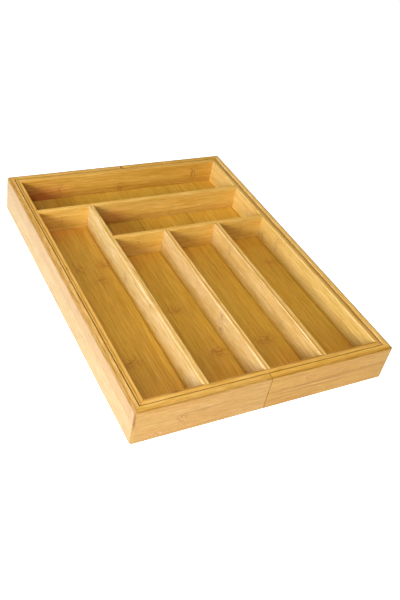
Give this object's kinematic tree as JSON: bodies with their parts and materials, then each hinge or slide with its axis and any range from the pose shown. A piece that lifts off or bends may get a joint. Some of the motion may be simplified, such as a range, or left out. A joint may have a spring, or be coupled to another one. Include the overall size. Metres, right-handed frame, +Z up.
{
  "type": "extendable cutlery tray",
  "caption": "Shallow bamboo drawer tray with several compartments between two sliding outer wings that widen it to the left and right.",
  "frame": {"origin": "middle of the underside of the closed tray, where it rests", "axes": "+X to the tray's right, +Y to its back with the single full-width compartment, +Z up"},
  "size_m": [0.34, 0.455, 0.05],
  "materials": {
    "inner_bamboo": "satin lacquered bamboo",
    "floor_bamboo": "satin lacquered bamboo strips",
    "wing_bamboo": "satin lacquered bamboo",
    "tongue_bamboo": "bare waxed bamboo"
  },
  "bodies": {
    "inner_tray": {"inner_left_wall": "inner_bamboo", "inner_right_wall": "inner_bamboo", "inner_front_wall": "inner_bamboo", "inner_back_wall": "inner_bamboo", "inner_floor_panel": "floor_bamboo", "back_cross_divider": "inner_bamboo", "middle_cross_divider": "inner_bamboo", "left_long_divider": "inner_bamboo", "centre_long_divider": "inner_bamboo", "right_long_divider": "inner_bamboo"},
    "left_wing": {"left_side_board": "wing_bamboo", "left_front_rail": "wing_bamboo", "left_back_rail": "wing_bamboo", "left_bottom_panel": "floor_bamboo", "left_front_tongue": "tongue_bamboo", "left_back_tongue": "tongue_bamboo"},
    "right_wing": {"right_side_board": "wing_bamboo", "right_front_rail": "wing_bamboo", "right_back_rail": "wing_bamboo", "right_bottom_panel": "floor_bamboo", "right_front_tongue": "tongue_bamboo", "right_back_tongue": "tongue_bamboo"}
  },
  "joints": [
    {"name": "left_wing_slide", "type": "slide", "parent": "inner_tray", "child": "left_wing", "axis": [-1, 0, 0], "range_m": [0, 0.12]},
    {"name": "right_wing_slide", "type": "slide", "parent": "inner_tray", "child": "right_wing", "axis": [1, 0, 0], "range_m": [0, 0.12]}
  ]
}
